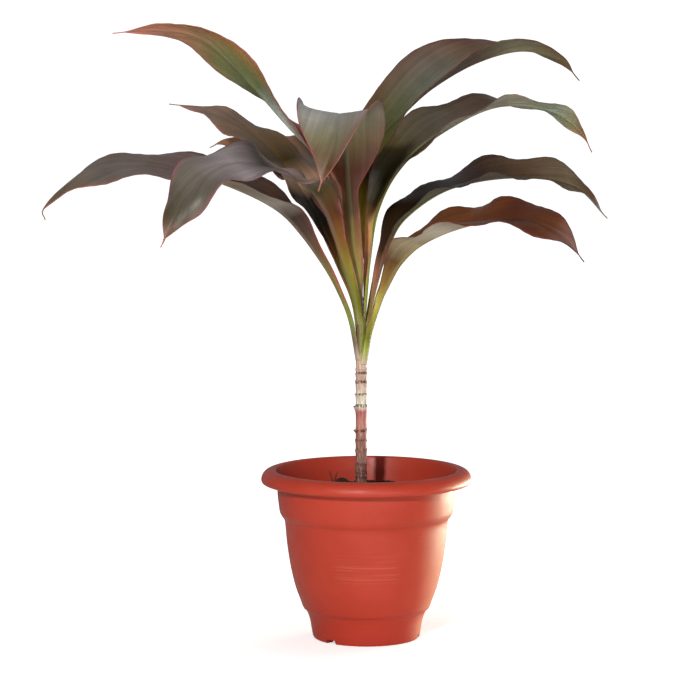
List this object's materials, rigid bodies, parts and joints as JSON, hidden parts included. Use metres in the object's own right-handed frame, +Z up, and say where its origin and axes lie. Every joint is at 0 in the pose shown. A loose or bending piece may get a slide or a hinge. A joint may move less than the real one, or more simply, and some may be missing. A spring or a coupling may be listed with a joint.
{
  "type": "potted ti plant",
  "caption": "Ti plant with long wavy strap leaves on one ringed stem, growing in soil in a round tapered pot with a rolled rim and a stepped collar.",
  "frame": {"origin": "centre of the pot's underside, on the plane that it rests on", "axes": "+Z up, +X to the right and +Y away from the viewer, with the curled middle leaf toward the viewer"},
  "size_m": [0.5336, 0.4245, 0.5841],
  "materials": {
    "pot": "satin",
    "soil": "matte",
    "stem": "matte",
    "leaf_right_low": "satin",
    "leaf_right_third": "satin",
    "leaf_right_second": "satin",
    "leaf_right_top": "satin",
    "leaf_left_top": "satin",
    "leaf_left_second": "satin",
    "leaf_left_long": "satin",
    "leaf_front_left": "satin",
    "leaf_front_middle": "satin",
    "leaf_back_left": "satin"
  },
  "bodies": {
    "root": {"pot": "pot", "soil": "soil", "stem": "stem", "leaf_right_low": "leaf_right_low", "leaf_right_third": "leaf_right_third", "leaf_right_second": "leaf_right_second", "leaf_right_top": "leaf_right_top", "leaf_left_top": "leaf_left_top", "leaf_left_second": "leaf_left_second", "leaf_left_long": "leaf_left_long", "leaf_front_left": "leaf_front_left", "leaf_front_middle": "leaf_front_middle", "leaf_back_left": "leaf_back_left"}
  },
  "joints": []
}
